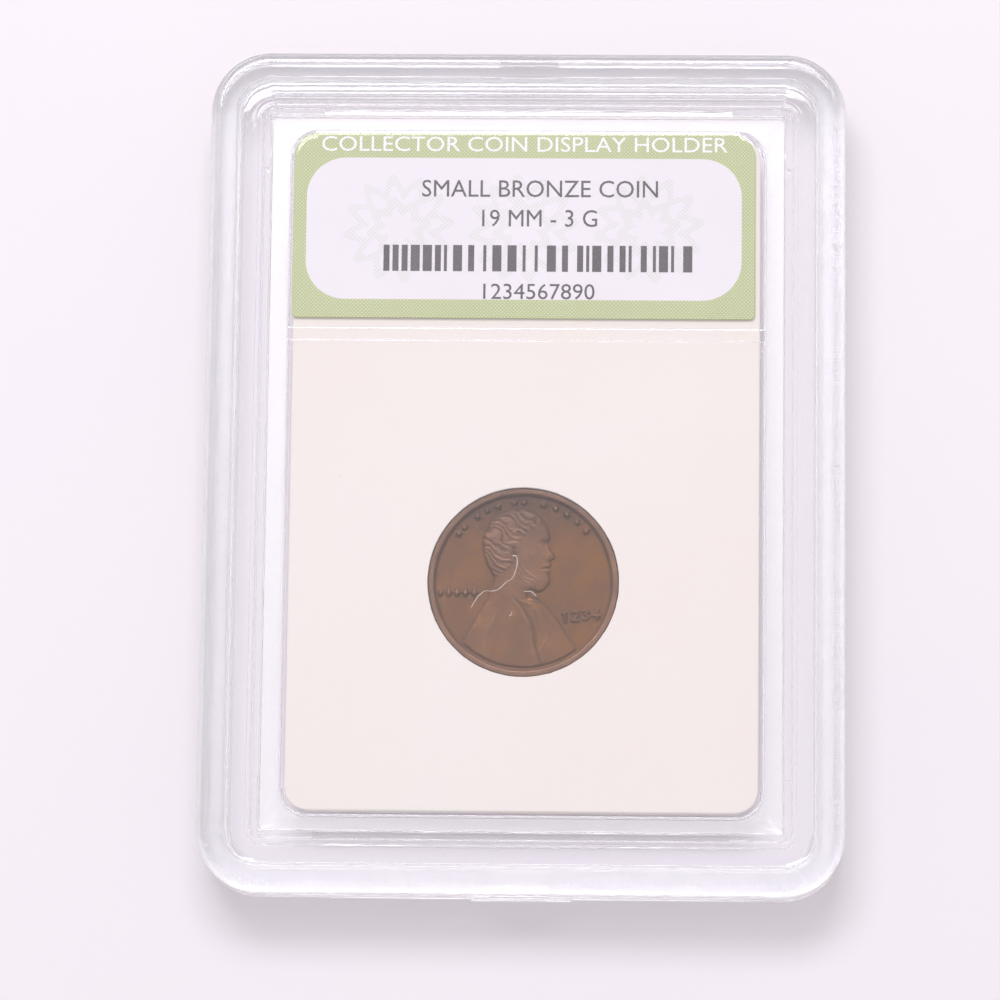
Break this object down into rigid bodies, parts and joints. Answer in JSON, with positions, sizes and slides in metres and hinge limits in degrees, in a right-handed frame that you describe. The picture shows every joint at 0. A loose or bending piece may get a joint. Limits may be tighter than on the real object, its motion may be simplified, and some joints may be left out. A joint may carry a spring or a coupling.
{
  "type": "graded coin slab",
  "caption": "Sealed clear plastic slab holding a small bronze coin in a white insert under a printed card, for stacking or standing in a storage box.",
  "frame": {"origin": "middle of the back face, which the slab rests on", "axes": "+X is the width, +Y runs towards the end with the printed card, +Z points out of the front face"},
  "size_m": [0.064, 0.0852, 0.008],
  "materials": {
    "clear_plastic": "clear, polished, faintly blue-violet in its thick edges",
    "frosted_weld": "frosted, speckled weld line",
    "white_insert": "matt white with a very fine grain",
    "printed_card": "satin printed card, pale green border and white panel",
    "worn_bronze": "circulated brown bronze, low satin shine"
  },
  "bodies": {
    "root": {"front_shell": "clear_plastic", "back_shell": "clear_plastic", "weld_bead": "frosted_weld", "coin_insert": "white_insert", "label_card": "printed_card", "coin": "worn_bronze"}
  },
  "joints": []
}
